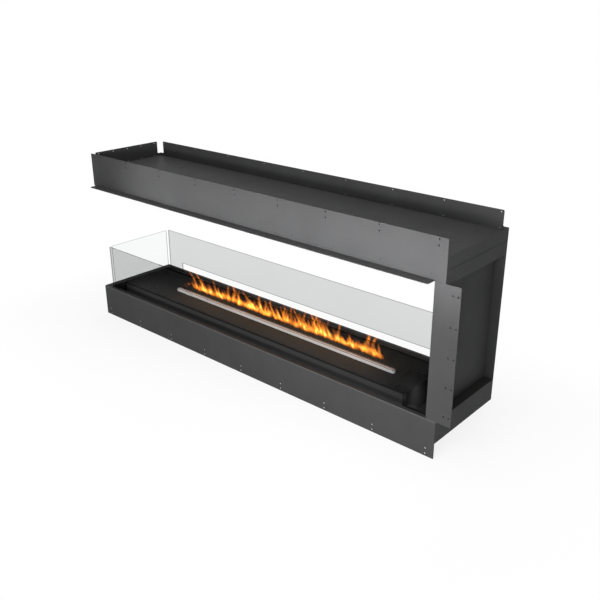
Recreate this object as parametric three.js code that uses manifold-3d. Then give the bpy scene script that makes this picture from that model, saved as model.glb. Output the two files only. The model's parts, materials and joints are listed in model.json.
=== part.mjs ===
// A long fireplace insert for building into a wall end: open at the front, the rear and the left end,
// closed by a wall at the right end, with a linear liquid-fuel burner in its tray. Millimetres, +Z up.
// X runs along the length, Y from the front to the rear. The shapes are drawn from the casing's
// front left lower corner, and the finished group is moved so that its origin is the base's centre.
import * as THREE from "three";
import { mergeVertices } from "three/addons/utils/BufferGeometryUtils.js";
import Module from "manifold-3d";

const wasm = await Module();
wasm.setup();

// Casing
const length = 1500;
const depth = 317;
const trayHeight = 68;
const openingHeight = 399;
const hoodHeight = 71;
const upstandHeight = 46;
const skirtDrop = 7;
const hangingFlange = 48;
const sheet = 2;
const gap = 0.3;
const overrun = 1;

// Hood
const plateDrop = 10;
const plateFold = 22;
const ceilingFold = 20;
const lipDepth = 33;
const lipStart = 22;
const lipCorner = 6;
const upstandInset = 18;
const cornerRadius = 4;
const seamHeight = 36;
const seamWidth = 1.2;
const seamDepth = 0.8;
const boardThickness = 25;
const boardInset = 20;
const braceWidth = 40;
const braceWall = 1.5;
const braceInset = 8;
const braceCount = 3;

// Fixing holes
const fixingRadius = 2.5;
const upstandHoleRadius = 1.75;
const lowHoleRadius = 1.2;
const fixingColumns = 9;
const fixingMargin = 27;
const fixingPair = 16.5;
const topEdgeMargin = 6;
const lowEdgeMargin = 7.5;
const depthColumns = 5;
const depthMargin = 32;
const lowRowRise = 4;
const rivetRadius = 1.6;
const rivetColumns = 10;
const rivetMargin = 44;
const rivetRise = 17;

// End wall
const wallInset = 32;
const endFlange = 45;
const endRows = 5;
const endRowMargin = 27;
const endEdgeMargin = 7;
const endPair = 16;

// Tray
const frontRim = 10;
const leftRim = 26.3;
const ledge = 34;
const grommetHoleRadius = 16.3;

// Glass and its rails
const glassThickness = 5;
const glassTop = 228;
const glassInset = 17;
const leftGlassInset = 31;
const glassCorner = 12;
const glassEndGap = 8;
const glassFoot = 76.5;
const glassAirGap = 36;
const glassSlack = 0.4;
const railWall = 1.5;
const railDepth = 12.5;
const railLegWidth = 24;
const railLegs = 3;

// Burner box
const burnerStart = 54;
const burnerRightMargin = 136;
const burnerInset = 62;
const burnerTop = 78;
const burnerLift = 8;
const burnerWall = 1.5;
const footRadius = 15;
const footInset = 30;

// Burner slot, trough and bar
const slotLeftMargin = 227;
const slotRightMargin = 102;
const slotWidth = 7;
const slotAside = 20;
const frontRail = 2.4;
const rearRail = 5.2;
const endRail = 8;
const frameHeight = 9.5;
const troughWidth = 20;
const troughBottom = 30;
const troughWall = 1.5;
const barWidth = 6;
const barDrop = 2;
const ridgeWidth = 1.2;
const ridgeHeight = 2;
const supportWidth = 30;
const supportCount = 3;

// Fuel tank and pipes
const tankLeftMargin = 246;
const tankRightMargin = 134;
const tankClearance = 21.5;
const tankRearMargin = 9;
const tankTop = 64;
const tankWall = 1.2;
const tankPortHeight = 38;
const neckRadius = 12;
const neckBore = 10;
const neckTop = 60;
const neckStraight = 20;
const neckBend = 26;
const pipeRadius = 3.5;
const pipeBore = 2;
const pumpLength = 62;
const pumpDepth = 40;
const pumpHeight = 34;
const pumpMotorRadius = 14;
const pumpMotorLength = 30;
const pumpPortHeight = 24;
const pumpPortLength = 10;

// Level sensor
const sensorFromEnd = 80;
const sensorFromFront = 16;
const sensorHeadRadius = 9;
const sensorHeadHeight = 6;
const sensorStemRadius = 3;
const sensorHoleRadius = 4;
const floatRadius = 8;
const floatHeight = 14;
const floatSlack = 0.5;
const stopRadius = 5;
const stopHeight = 1.5;

// Service bay under the lid
const lidWidth = 55;
const lidShare = 0.62;
const lidGap = 1;
const bayWidth = 75;
const lidFromEnd = 11;
const lidFromFront = 4;
const fingerLength = 18;
const fingerWidth = 6;
const fingerMargin = 10;
const fingerPitch = 16;
const knuckleRadius = 3.2;
const pinRadius = 1.5;
const knuckleLength = 27;
const leafLength = 51;
const leafDepth = 15;
const leafThickness = 1.5;
const tabThickness = 1.8;
const tabReach = 10;
const panelLevel = 50;
const panelSheet = 1.5;
const panelLegReach = 62;
const panelMargin = 11;
const capRadius = 16;
const capHeight = 18;
const capSkirt = 6;
const capSlack = 0.5;
const capRibLength = 26;
const capRibWidth = 5;
const capRibHeight = 3;
const buttonRadius = 8;
const buttonHeight = 5.7;
const buttonStemRadius = 4;
const buttonStemLength = 10;
const buttonTravel = 2.5;
const lampRadius = 5;
const lampStemRadius = 3;

// Left bay
const fanSize = 60;
const fanThickness = 20;
const fanBore = 27;
const rotorRadius = 25;
const rotorThickness = 9;
const hubRadius = 11;
const fanShaftRadius = 1.5;
const spokeWidth = 4;
const spokeThickness = 3;
const bladeThickness = 1.6;
const bladeCount = 7;
const bladeLean = 0.6;
const fanFromEnd = 36;
const ventWidth = 4;
const ventPitch = 9;
const ventCount = 5;
const ventHeight = 46;
const boardLength = 110;
const boardDepth = 80;
const boardSheet = 1.6;
const boardFromEnd = 16;
const boardFromFront = 18;
const standoffRadius = 3;
const standoffHeight = 6;
const standoffInset = 5;
const flameSensorFromEnd = 143;
const flameSensorFromFront = 33;
const flameSensorRadius = 5.5;
const flameSensorStem = 4;
const flameSensorHead = 2;
const flameSensorLength = 20;
const igniterFromEnd = 82;
const igniterRadius = 3;
const igniterLevel = 66;
const igniterBlock = 14;

// Right bay
const inletWidth = 26;
const inletHeight = 21;
const inletFlange = 5;
const inletFlangeThickness = 2.5;
const inletDepth = 18;
const inletWall = 2;
const inletFromRear = 39;
const inletZ = 40;
const contactWidth = 4;
const contactThickness = 1.5;
const contactLength = 11;
const ductWidth = 22;
const ductHeight = 33;
const ductLength = 96;
const ductHoleRadius = 6;
const grommetFlange = 4;
const grommetThickness = 2.7;
const grommetBore = 9;
const grommetFromEnd = 70;
const grommetFromRear = 117;

// Segments round half a small hole and round a larger piece, and steps along a bent pipe
const holeSegments = 5;
const roundSegments = 16;
const pathSteps = 10;

// Levels and lines that several pieces share
const openingTop = trayHeight + openingHeight;
const hoodTop = openingTop + hoodHeight;
const upstandTop = hoodTop + upstandHeight;
const skirtBottom = openingTop - skirtDrop;
const plateLevel = hoodTop - plateDrop;
const ceilingTop = openingTop + sheet;
const inside = sheet + gap;
const floorTop = sheet + gap;
const wallX = length - wallInset;
const glassEnd = wallX - glassEndGap;
const glassStart = leftGlassInset + glassThickness / 2;
const railWidth = glassThickness + 2 * glassSlack + 2 * railWall;
const railBottom = trayHeight - railDepth - railWall;
const glassBottom = railBottom + railWall + gap;
const burnerEnd = length - burnerRightMargin;
const burnerRear = depth - burnerInset;
const burnerPlateBottom = burnerTop - sheet;
const housingTop = burnerPlateBottom - gap;
const housingFloor = burnerLift + burnerWall + gap;
const slotStart = burnerStart + slotLeftMargin;
const slotEnd = burnerEnd - slotRightMargin;
const slotMiddle = depth / 2 - slotAside;
const slotFront = slotMiddle - slotWidth / 2;
const slotRear = slotMiddle + slotWidth / 2;
const frameBottom = burnerTop + gap;
const frameTop = frameBottom + frameHeight;
const barTop = frameTop - barDrop;
const troughTop = housingTop;
const troughStart = slotStart - troughWall - endRail / 2;
const troughEnd = slotEnd + troughWall + endRail / 2;
const tankStart = burnerStart + tankLeftMargin;
const tankEnd = burnerEnd - tankRightMargin;
const tankFront = slotMiddle + troughWidth / 2 + tankClearance;
const tankRear = burnerRear - tankRearMargin;
const tankMiddle = (tankFront + tankRear) / 2;
const pumpEnd = tankStart - 2 * pumpPortLength - pumpPortLength / 2;
const bayStart = burnerEnd - bayWidth;
const lidRight = burnerEnd - lidFromEnd;
const lidLeft = lidRight - lidWidth;
const lidMiddle = (lidLeft + lidRight) / 2;
const lidFront = burnerInset + lidFromFront;
const lidRear = lidFront + lidShare * (burnerRear - burnerInset);
const hingeY = lidRear + lidGap + knuckleRadius + gap;
const hingeZ = burnerTop + knuckleRadius + gap;
const neckY = lidRear - neckRadius - 2 * neckRadius;
const panelTop = panelLevel + panelSheet;
const controlsY = lidFront + fingerMargin + fingerPitch;
const flameSensorX = burnerStart + flameSensorFromEnd;
const flameSensorY = burnerInset + flameSensorFromFront;
const inletY = burnerRear - inletFromRear;

const steelPaint = { color: 0x47484a, roughness: 0.5, metalness: 0.35 };
const blackSteel = { color: 0x141414, roughness: 0.35, metalness: 0.4 };
const stainless = { color: 0xc9cacc, roughness: 0.28, metalness: 1 };
const copper = { color: 0xb9785a, roughness: 0.35, metalness: 1 };
const zinc = { color: 0x8e9296, roughness: 0.45, metalness: 0.9 };
const clearGlass = { color: 0xdfe6e6, roughness: 0.05, metalness: 0, transparent: true, opacity: 0.3 };
const fibre = { color: 0xd8d2c4, roughness: 0.95, metalness: 0 };
const blackPlastic = { color: 0x1b1c1e, roughness: 0.5, metalness: 0 };
const rubber = { color: 0x202020, roughness: 0.85, metalness: 0 };
const boardGreen = { color: 0x1f5a3a, roughness: 0.6, metalness: 0 };
const amber = { color: 0xffa63d, roughness: 0.3, metalness: 0, emissive: 0xff8a1c };

const part = new THREE.Group();

// A closed geometry as a solid that can be joined and cut.
function solid(geometry) {
  const bare = geometry.index ? geometry.toNonIndexed() : geometry.clone();
  bare.deleteAttribute("normal");
  bare.deleteAttribute("uv");
  const merged = mergeVertices(bare);
  return new wasm.Manifold(
    new wasm.Mesh({
      numProp: 3,
      vertProperties: merged.attributes.position.array,
      triVerts: new Uint32Array(merged.index.array),
    }),
  );
}

function geometryOf(body) {
  const mesh = body.getMesh();
  const geometry = new THREE.BufferGeometry();
  geometry.setAttribute("position", new THREE.BufferAttribute(mesh.vertProperties, 3));
  geometry.setIndex(new THREE.BufferAttribute(mesh.triVerts, 1));
  const faceted = geometry.toNonIndexed();
  faceted.computeVertexNormals();
  return faceted;
}

function add(name, body, finish) {
  const mesh = new THREE.Mesh(geometryOf(body), new THREE.MeshStandardMaterial(finish));
  mesh.name = name;
  part.add(mesh);
}

function join(...bodies) {
  return bodies.reduce((whole, next) => whole.add(next));
}

function cut(body, ...tools) {
  return tools.reduce((whole, tool) => whole.subtract(tool), body);
}

function box(x0, x1, y0, y1, z0, z1) {
  const geometry = new THREE.BoxGeometry(x1 - x0, y1 - y0, z1 - z0);
  geometry.translate((x0 + x1) / 2, (y0 + y1) / 2, (z0 + z1) / 2);
  return solid(geometry);
}

// A flat outline pushed along an axis. Its two coordinates are (y, z) along x, (x, z) along y
// and (x, y) along z.
function prism(axis, shape, from, to) {
  const geometry = new THREE.ExtrudeGeometry(shape, {
    depth: to - from,
    bevelEnabled: false,
    curveSegments: holeSegments,
  });
  const place = new THREE.Matrix4();
  const x = new THREE.Vector3(1, 0, 0);
  const y = new THREE.Vector3(0, 1, 0);
  const z = new THREE.Vector3(0, 0, 1);
  if (axis === "x") place.makeBasis(y, z, x).setPosition(from, 0, 0);
  if (axis === "y") place.makeBasis(x, z, y.negate()).setPosition(0, to, 0);
  if (axis === "z") place.setPosition(0, 0, from);
  geometry.applyMatrix4(place);
  return solid(geometry);
}

function outline(points) {
  return new THREE.Shape(points.map(([u, v]) => new THREE.Vector2(u, v)));
}

// A rectangle with round corners, as an outline or as a hole in one.
function rounded(Kind, u0, u1, v0, v1, r) {
  const path = new Kind();
  path.moveTo(u0 + r, v0);
  path.lineTo(u1 - r, v0);
  path.absarc(u1 - r, v0 + r, r, -Math.PI / 2, 0, false);
  path.lineTo(u1, v1 - r);
  path.absarc(u1 - r, v1 - r, r, 0, Math.PI / 2, false);
  path.lineTo(u0 + r, v1);
  path.absarc(u0 + r, v1 - r, r, Math.PI / 2, Math.PI, false);
  path.lineTo(u0, v0 + r);
  path.absarc(u0 + r, v0 + r, r, Math.PI, 1.5 * Math.PI, false);
  return path;
}

function drill(shape, u, v, radius) {
  const hole = new THREE.Path();
  hole.absarc(u, v, radius, 0, 2 * Math.PI, true);
  shape.holes.push(hole);
}

// Evenly spread places from one margin to the other.
function spread(count, first, last) {
  return Array.from({ length: count }, (_, i) => first + (i * (last - first)) / (count - 1));
}

// A round bar along an axis, with its centre line at the other two coordinates.
function rod(axis, u, v, from, to, radius, segments = roundSegments) {
  const geometry = new THREE.CylinderGeometry(radius, radius, to - from, segments);
  const middle = (from + to) / 2;
  if (axis === "x") geometry.rotateZ(-Math.PI / 2).translate(middle, u, v);
  if (axis === "y") geometry.translate(u, middle, v);
  if (axis === "z") geometry.rotateX(Math.PI / 2).translate(u, v, middle);
  return solid(geometry);
}

// A hollow pipe along a curve.
function pipe(curve, radius, bore, steps) {
  const ring = new THREE.Shape();
  ring.absarc(0, 0, radius, 0, 2 * Math.PI, false);
  drill(ring, 0, 0, bore);
  return solid(
    new THREE.ExtrudeGeometry(ring, {
      steps,
      bevelEnabled: false,
      curveSegments: holeSegments,
      extrudePath: curve,
    }),
  );
}

// An outline turned about a vertical line at (x, y).
function turned(points, x, y) {
  const profile = points.map(([r, z]) => new THREE.Vector2(r, z));
  const geometry = new THREE.LatheGeometry(profile, roundSegments);
  geometry.rotateX(Math.PI / 2).translate(x, y, 0);
  return solid(geometry);
}

const columns = spread(fixingColumns, fixingMargin, length - fixingMargin);
const depthRows = spread(depthColumns, depthMargin, depth - depthMargin);

// Hood: the tall front fascia, with pairs of fixing holes, a row of rivet holes and the lip that
// carries the edge of the wall lining
function frontFascia() {
  const face = rounded(THREE.Shape, 0, length, openingTop, upstandTop, cornerRadius / 2);
  for (const x of columns) {
    drill(face, x, upstandTop - topEdgeMargin, fixingRadius);
    drill(face, x, upstandTop - topEdgeMargin - fixingPair, fixingRadius);
  }
  for (const x of spread(rivetColumns, rivetMargin, length - rivetMargin)) {
    drill(face, x, openingTop + rivetRise, rivetRadius);
  }
  const lip = rounded(THREE.Shape, lipStart, wallX, -lipDepth, lipCorner + sheet, lipCorner);
  const behind = box(0, length, sheet, lipDepth, openingTop - overrun, upstandTop);
  return join(
    prism("y", face, 0, sheet),
    prism("z", lip, openingTop, openingTop + sheet).subtract(behind),
  );
}

// An upright panel whose upper edge steps up into a flange between two rounded reliefs.
function upstandPanel(axis, u0, u1, flange0, flange1, places, from, to) {
  const r = cornerRadius;
  const shape = new THREE.Shape();
  shape.moveTo(u0, skirtBottom);
  shape.lineTo(u1, skirtBottom);
  shape.lineTo(u1, hoodTop);
  shape.lineTo(flange1 + r, hoodTop);
  shape.absarc(flange1 + r, hoodTop + r, r, 1.5 * Math.PI, Math.PI, true);
  shape.lineTo(flange1, upstandTop - r);
  shape.absarc(flange1 - r, upstandTop - r, r, 0, Math.PI / 2, false);
  shape.lineTo(flange0 + r, upstandTop);
  shape.absarc(flange0 + r, upstandTop - r, r, Math.PI / 2, Math.PI, false);
  shape.lineTo(flange0, hoodTop + r);
  shape.absarc(flange0 - r, hoodTop + r, r, 0, -Math.PI / 2, true);
  shape.lineTo(u0, hoodTop);
  for (const u of places) {
    drill(shape, u, upstandTop - topEdgeMargin, upstandHoleRadius);
    drill(shape, u, plateLevel + lowRowRise, lowHoleRadius);
  }
  return prism(axis, shape, from, to);
}

function rightHoodPanel() {
  const seam = hoodTop - seamHeight;
  return cut(
    box(length - sheet, length, inside, depth - inside, skirtBottom, hoodTop),
    box(length - seamDepth, length + overrun, 0, depth, seam - seamWidth, seam),
  );
}

// A sheet with its four edges folded the same way, up or down.
function foldedPlate(low, high, plateLow, plateHigh) {
  const outer = box(inside, length - inside, inside, depth - inside, low, high);
  const edge = inside + sheet;
  const above = plateHigh < high;
  const hollowLow = above ? plateHigh : low - overrun;
  const hollowHigh = above ? high + overrun : plateLow;
  return cut(outer, box(edge, length - edge, edge, depth - edge, hollowLow, hollowHigh));
}

function hoodBrace(x) {
  const low = ceilingTop + gap + boardThickness + gap;
  const high = plateLevel - sheet - gap;
  const left = x - braceWidth / 2;
  const right = x + braceWidth / 2;
  return cut(
    box(left, right, braceInset, depth - braceInset, low, high),
    box(left + braceWall, right + overrun, 0, depth, low + braceWall, high - braceWall),
  );
}

add("front_fascia", frontFascia(), steelPaint);
add(
  "rear_hood_panel",
  upstandPanel("y", 0, length, upstandInset, length - upstandInset, columns, depth - sheet, depth),
  steelPaint,
);
add(
  "left_hood_panel",
  upstandPanel("x", inside, depth - inside, upstandInset, depth - upstandInset, depthRows, 0, sheet),
  steelPaint,
);
add("right_hood_panel", rightHoodPanel(), steelPaint);
add(
  "top_plate",
  foldedPlate(plateLevel - plateFold, plateLevel, plateLevel - sheet, plateLevel),
  steelPaint,
);
add(
  "ceiling_plate",
  foldedPlate(openingTop, openingTop + ceilingFold, openingTop, ceilingTop),
  blackSteel,
);
add(
  "insulation_board",
  prism(
    "z",
    rounded(THREE.Shape, boardInset, length - boardInset, boardInset, depth - boardInset, cornerRadius),
    ceilingTop + gap,
    ceilingTop + gap + boardThickness,
  ),
  fibre,
);
spread(braceCount, length / (braceCount + 1), (length * braceCount) / (braceCount + 1)).forEach(
  (x, i) => add(`hood_brace_${i + 1}`, hoodBrace(x), zinc),
);

// End wall: one sheet with a wide fixing flange at the front and a narrow flange at the rear
function endWall() {
  const low = trayHeight + gap;
  const high = openingTop - gap;
  const web = outline([
    [0, low],
    [depth, low],
    [depth, skirtBottom - gap],
    [depth - inside, skirtBottom - gap],
    [depth - inside, high],
    [0, high],
  ]);
  const front = rounded(THREE.Shape, wallX, length + endFlange, low, high, cornerRadius / 2);
  for (const z of spread(endRows, low + endRowMargin, high - endRowMargin)) {
    drill(front, length + endFlange - endEdgeMargin, z, fixingRadius);
    drill(front, length + endFlange - endEdgeMargin - endPair, z, fixingRadius);
  }
  return join(
    prism("x", web, wallX, wallX + sheet),
    prism("y", front, 0, sheet),
    box(wallX, length, depth - sheet, depth, low, skirtBottom - gap),
  );
}
add("end_wall", endWall(), steelPaint);

// Base tray: folded walls with a narrow rim all round and a wide ledge that carries the end wall
const grommetX = length - grommetFromEnd;
const grommetY = depth - grommetFromRear;
function baseTray() {
  const innerFront = inside + sheet;
  return cut(
    box(0, length, inside, depth, 0, trayHeight),
    box(sheet, length - sheet, innerFront, depth - sheet, sheet, trayHeight - sheet),
    box(leftRim, length - ledge, inside + frontRim, depth - inside - frontRim, sheet, trayHeight + overrun),
    rod("z", grommetX, grommetY, -overrun, floorTop, grommetHoleRadius),
  );
}
add("base_tray", baseTray(), steelPaint);

function lowerFrontPanel() {
  const face = rounded(THREE.Shape, 0, length, -hangingFlange, trayHeight, cornerRadius / 2);
  for (const x of columns) {
    drill(face, x, lowEdgeMargin - hangingFlange, fixingRadius);
    drill(face, x, lowEdgeMargin - hangingFlange + fixingPair, fixingRadius);
  }
  return prism("y", face, 0, sheet);
}
add("lower_front_panel", lowerFrontPanel(), steelPaint);

// Glass rails: channels on short legs, just inside the tray's rim
function glassRail(axis, middle, start, end) {
  const u0 = middle - railWidth / 2;
  const u1 = middle + railWidth / 2;
  const floor = railBottom + railWall;
  const placed = axis === "x"
    ? (a0, a1, u, v, low, high) => box(a0, a1, u, v, low, high)
    : (a0, a1, u, v, low, high) => box(u, v, a0, a1, low, high);
  const channel = cut(
    placed(start, end, u0, u1, railBottom, trayHeight),
    placed(start - overrun, end + overrun, u0 + railWall, u1 - railWall, floor, trayHeight + overrun),
  );
  const legs = spread(railLegs, start, end - railLegWidth).map((a) =>
    placed(a, a + railLegWidth, u0, u0 + railWall, floorTop, floor),
  );
  return join(channel, ...legs);
}
add("front_glass_rail", glassRail("x", glassInset, glassStart, glassEnd), stainless);
add("rear_glass_rail", glassRail("x", depth - glassInset, glassStart, glassEnd), stainless);
const leftGlassFront = glassInset + glassCorner - overrun;
add(
  "left_glass_rail",
  glassRail("y", leftGlassInset, leftGlassFront, depth - leftGlassFront),
  stainless,
);

// Glass panes: the long ones stand on two feet, with an air gap under the rest
function longPane(middle) {
  const shape = outline([
    [glassStart, glassBottom],
    [glassStart + glassFoot, glassBottom],
    [glassStart + glassFoot, trayHeight + glassAirGap],
    [glassEnd - glassFoot, trayHeight + glassAirGap],
    [glassEnd - glassFoot, glassBottom],
    [glassEnd, glassBottom],
    [glassEnd, glassTop],
    [glassStart, glassTop],
  ]);
  return prism("y", shape, middle - glassThickness / 2, middle + glassThickness / 2);
}
add("front_glass", longPane(glassInset), clearGlass);
add("rear_glass", longPane(depth - glassInset), clearGlass);
add(
  "left_glass",
  box(
    leftGlassInset - glassThickness / 2,
    leftGlassInset + glassThickness / 2,
    leftGlassFront,
    depth - leftGlassFront,
    glassBottom,
    glassTop,
  ),
  clearGlass,
);

// Burner box, its feet and its top plate
const fanX = burnerStart + fanFromEnd + fanSize / 2;
function burnerHousing() {
  const inner = box(
    burnerStart + burnerWall,
    burnerEnd - burnerWall,
    burnerInset + burnerWall,
    burnerRear - burnerWall,
    burnerLift + burnerWall,
    housingTop + overrun,
  );
  const ventBottom = (housingFloor + housingTop - ventHeight) / 2;
  const vents = spread(
    ventCount,
    fanX - ((ventCount - 1) * ventPitch) / 2,
    fanX + ((ventCount - 1) * ventPitch) / 2,
  ).map((x) =>
    box(
      x - ventWidth / 2,
      x + ventWidth / 2,
      burnerRear - burnerWall - overrun,
      burnerRear + overrun,
      ventBottom,
      ventBottom + ventHeight,
    ),
  );
  const inletHole = box(
    burnerEnd - burnerWall - overrun,
    burnerEnd + overrun,
    inletY - inletWidth / 2 - gap,
    inletY + inletWidth / 2 + gap,
    inletZ - inletHeight / 2 - gap,
    inletZ + inletHeight / 2 + gap,
  );
  const cableHole = rod(
    "x",
    burnerInset + ductWidth / 2,
    (burnerLift + floorTop + ductHeight) / 2,
    burnerEnd - burnerWall - overrun,
    burnerEnd + overrun,
    ductHoleRadius,
    roundSegments / 2,
  );
  const outer = box(burnerStart, burnerEnd, burnerInset, burnerRear, burnerLift, housingTop);
  return cut(outer, inner, inletHole, cableHole, ...vents);
}
add("burner_housing", burnerHousing(), blackSteel);

const footPlaces = [
  [burnerStart + footInset, burnerInset + footInset],
  [burnerEnd - footInset, burnerInset + footInset],
  [burnerStart + footInset, burnerRear - footInset],
  [burnerEnd - footInset, burnerRear - footInset],
];
footPlaces.forEach(([x, y], i) => {
  const top = burnerLift - gap;
  const neck = footRadius / 2;
  const middle = (floorTop + top) / 2;
  const profile = [
    [0, floorTop],
    [footRadius, floorTop],
    [footRadius, middle],
    [neck, middle],
    [neck, top],
    [0, top],
  ];
  add(`burner_foot_${i + 1}`, turned(profile, x, y), rubber);
});

function burnerTopPlate() {
  const plate = rounded(THREE.Shape, burnerStart, bayStart - gap, burnerInset, burnerRear, sheet);
  plate.holes.push(
    rounded(THREE.Path, slotStart, slotEnd, slotFront, slotRear, slotWidth / 2 - gap),
  );
  drill(plate, flameSensorX, flameSensorY, flameSensorStem + gap);
  return prism("z", plate, burnerPlateBottom, burnerTop);
}
add("burner_top_plate", burnerTopPlate(), blackSteel);

// Plate round the service lid, at the right end of the burner box
function serviceBayPlate() {
  const plate = rounded(THREE.Shape, bayStart, burnerEnd, burnerInset, burnerRear, sheet);
  plate.holes.push(
    rounded(THREE.Path, lidLeft - lidGap, lidRight + lidGap, lidFront - lidGap, lidRear + lidGap, sheet),
  );
  return prism("z", plate, burnerPlateBottom, burnerTop);
}
add("service_bay_plate", serviceBayPlate(), blackSteel);

// Slot frame: a raised rim round the slot, with a thin front wall, a thicker rear wall and round ends
function slotFrame() {
  const front = slotFront - frontRail;
  const rear = slotRear + rearRail;
  const radius = (rear - front) / 2 - gap;
  const ring = rounded(THREE.Shape, slotStart - endRail, slotEnd + endRail, front, rear, radius);
  ring.holes.push(rounded(THREE.Path, slotStart, slotEnd, slotFront, slotRear, slotWidth / 2 - gap));
  return prism("z", ring, frameBottom, frameTop);
}
add("slot_frame", slotFrame(), stainless);

// Trough under the slot, its supports, and the burner bar that stands in it and reaches up into the frame
const igniterX = slotEnd - igniterFromEnd;
function fuelTrough() {
  const front = slotMiddle - troughWidth / 2;
  const rear = slotMiddle + troughWidth / 2;
  return cut(
    box(troughStart, troughEnd, front, rear, troughBottom, troughTop),
    box(
      troughStart + troughWall,
      troughEnd - troughWall,
      front + troughWall,
      rear - troughWall,
      troughBottom + troughWall,
      troughTop + overrun,
    ),
    rod(
      "x",
      slotMiddle,
      tankPortHeight,
      troughStart - overrun,
      troughStart + sheet,
      pipeRadius,
      roundSegments / 2,
    ),
    rod("y", igniterX, igniterLevel, front - overrun, slotMiddle, igniterRadius + gap, roundSegments / 2),
  );
}
add("fuel_trough", fuelTrough(), stainless);

spread(supportCount, troughStart + supportWidth, troughEnd - supportWidth).forEach((x, i) => {
  const low = housingFloor;
  const high = troughBottom - gap;
  const half = troughWidth / 2;
  const saddle = cut(
    box(x - supportWidth / 2, x + supportWidth / 2, slotMiddle - half, slotMiddle + half, low, high),
    box(
      x - supportWidth,
      x + supportWidth,
      slotMiddle - half + troughWall,
      slotMiddle + half - troughWall,
      low - overrun,
      high - troughWall,
    ),
  );
  add(`trough_support_${i + 1}`, saddle, zinc);
});

function burnerBar() {
  const left = slotMiddle - barWidth / 2;
  const right = slotMiddle + barWidth / 2;
  const low = troughBottom + troughWall + gap;
  const valley = barTop - ridgeHeight;
  const points = [
    [left, low],
    [right, low],
    [right, barTop],
    [right - ridgeWidth, barTop],
    [right - ridgeWidth, valley],
    [slotMiddle + ridgeWidth / 2, valley],
    [slotMiddle + ridgeWidth / 2, barTop],
    [slotMiddle - ridgeWidth / 2, barTop],
    [slotMiddle - ridgeWidth / 2, valley],
    [left + ridgeWidth, valley],
    [left + ridgeWidth, barTop],
    [left, barTop],
  ];
  return prism("x", outline(points), slotStart + slotWidth / 2, slotEnd - slotWidth / 2);
}
add("burner_bar", burnerBar(), copper);

function igniter() {
  const front = slotMiddle - troughWidth / 2;
  const tip = slotMiddle - barWidth / 2 - 2 * gap;
  const blockRear = front - gap;
  const half = igniterBlock / 2;
  return join(
    rod("y", igniterX, igniterLevel, blockRear - half, tip, igniterRadius, roundSegments / 2),
    box(
      igniterX - half,
      igniterX + half,
      blockRear - igniterBlock,
      blockRear,
      housingFloor,
      igniterLevel + half,
    ),
  );
}
add("igniter", igniter(), fibre);

// Fuel tank, with a filler port at its right end, an outlet at its left end and a sensor port on top
const sensorX = tankEnd - sensorFromEnd;
const sensorY = tankFront + sensorFromFront;
const tankInsideTop = tankTop - tankWall;
function fuelTank() {
  return cut(
    box(tankStart, tankEnd, tankFront, tankRear, housingFloor, tankTop),
    box(
      tankStart + tankWall,
      tankEnd - tankWall,
      tankFront + tankWall,
      tankRear - tankWall,
      housingFloor + tankWall,
      tankInsideTop,
    ),
    rod("x", tankMiddle, tankPortHeight, tankEnd - sheet, tankEnd + overrun, neckBore),
    rod(
      "x",
      tankMiddle,
      pumpPortHeight,
      tankStart - overrun,
      tankStart + sheet,
      pipeBore,
      roundSegments / 2,
    ),
    rod(
      "z",
      sensorX,
      sensorY,
      tankInsideTop - overrun,
      tankTop + overrun,
      sensorHoleRadius,
      roundSegments / 2,
    ),
  );
}
add("fuel_tank", fuelTank(), stainless);

const stopTop = housingFloor + tankWall + gap + stopHeight;
function levelSensor() {
  const low = stopTop - stopHeight;
  return join(
    rod("z", sensorX, sensorY, tankTop + gap, tankTop + gap + sensorHeadHeight, sensorHeadRadius),
    rod("z", sensorX, sensorY, low, tankTop + sensorHeadHeight / 2, sensorStemRadius, roundSegments / 2),
    rod("z", sensorX, sensorY, low, stopTop, stopRadius, roundSegments / 2),
  );
}
add("level_sensor", levelSensor(), blackPlastic);
add(
  "level_float",
  cut(
    rod("z", sensorX, sensorY, stopTop + gap, stopTop + gap + floatHeight, floatRadius),
    rod(
      "z",
      sensorX,
      sensorY,
      stopTop,
      stopTop + floatHeight + overrun,
      sensorStemRadius + floatSlack,
      roundSegments / 2,
    ),
  ),
  blackPlastic,
);

// Filler neck: from the tank's end round and up into the service bay
function fillerNeck() {
  const straightLow = neckTop - neckStraight;
  const path = new THREE.CurvePath();
  path.add(
    new THREE.CubicBezierCurve3(
      new THREE.Vector3(tankEnd + gap, tankMiddle, tankPortHeight),
      new THREE.Vector3(lidMiddle, tankMiddle, tankPortHeight),
      new THREE.Vector3(lidMiddle, neckY, straightLow - neckBend),
      new THREE.Vector3(lidMiddle, neckY, straightLow),
    ),
  );
  path.add(
    new THREE.LineCurve3(
      new THREE.Vector3(lidMiddle, neckY, straightLow),
      new THREE.Vector3(lidMiddle, neckY, neckTop),
    ),
  );
  return pipe(path, neckRadius, neckBore, pathSteps);
}
add("filler_neck", fillerNeck(), stainless);

function fillerCap() {
  const low = neckTop - capSkirt;
  const high = low + capHeight;
  return join(
    cut(
      rod("z", lidMiddle, neckY, low, high, capRadius),
      rod("z", lidMiddle, neckY, low - overrun, neckTop + gap, neckRadius + capSlack),
    ),
    box(
      lidMiddle - capRibLength / 2,
      lidMiddle + capRibLength / 2,
      neckY - capRibWidth / 2,
      neckY + capRibWidth / 2,
      high - sheet,
      high + capRibHeight,
    ),
  );
}
add("filler_cap", fillerCap(), blackPlastic);

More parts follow.
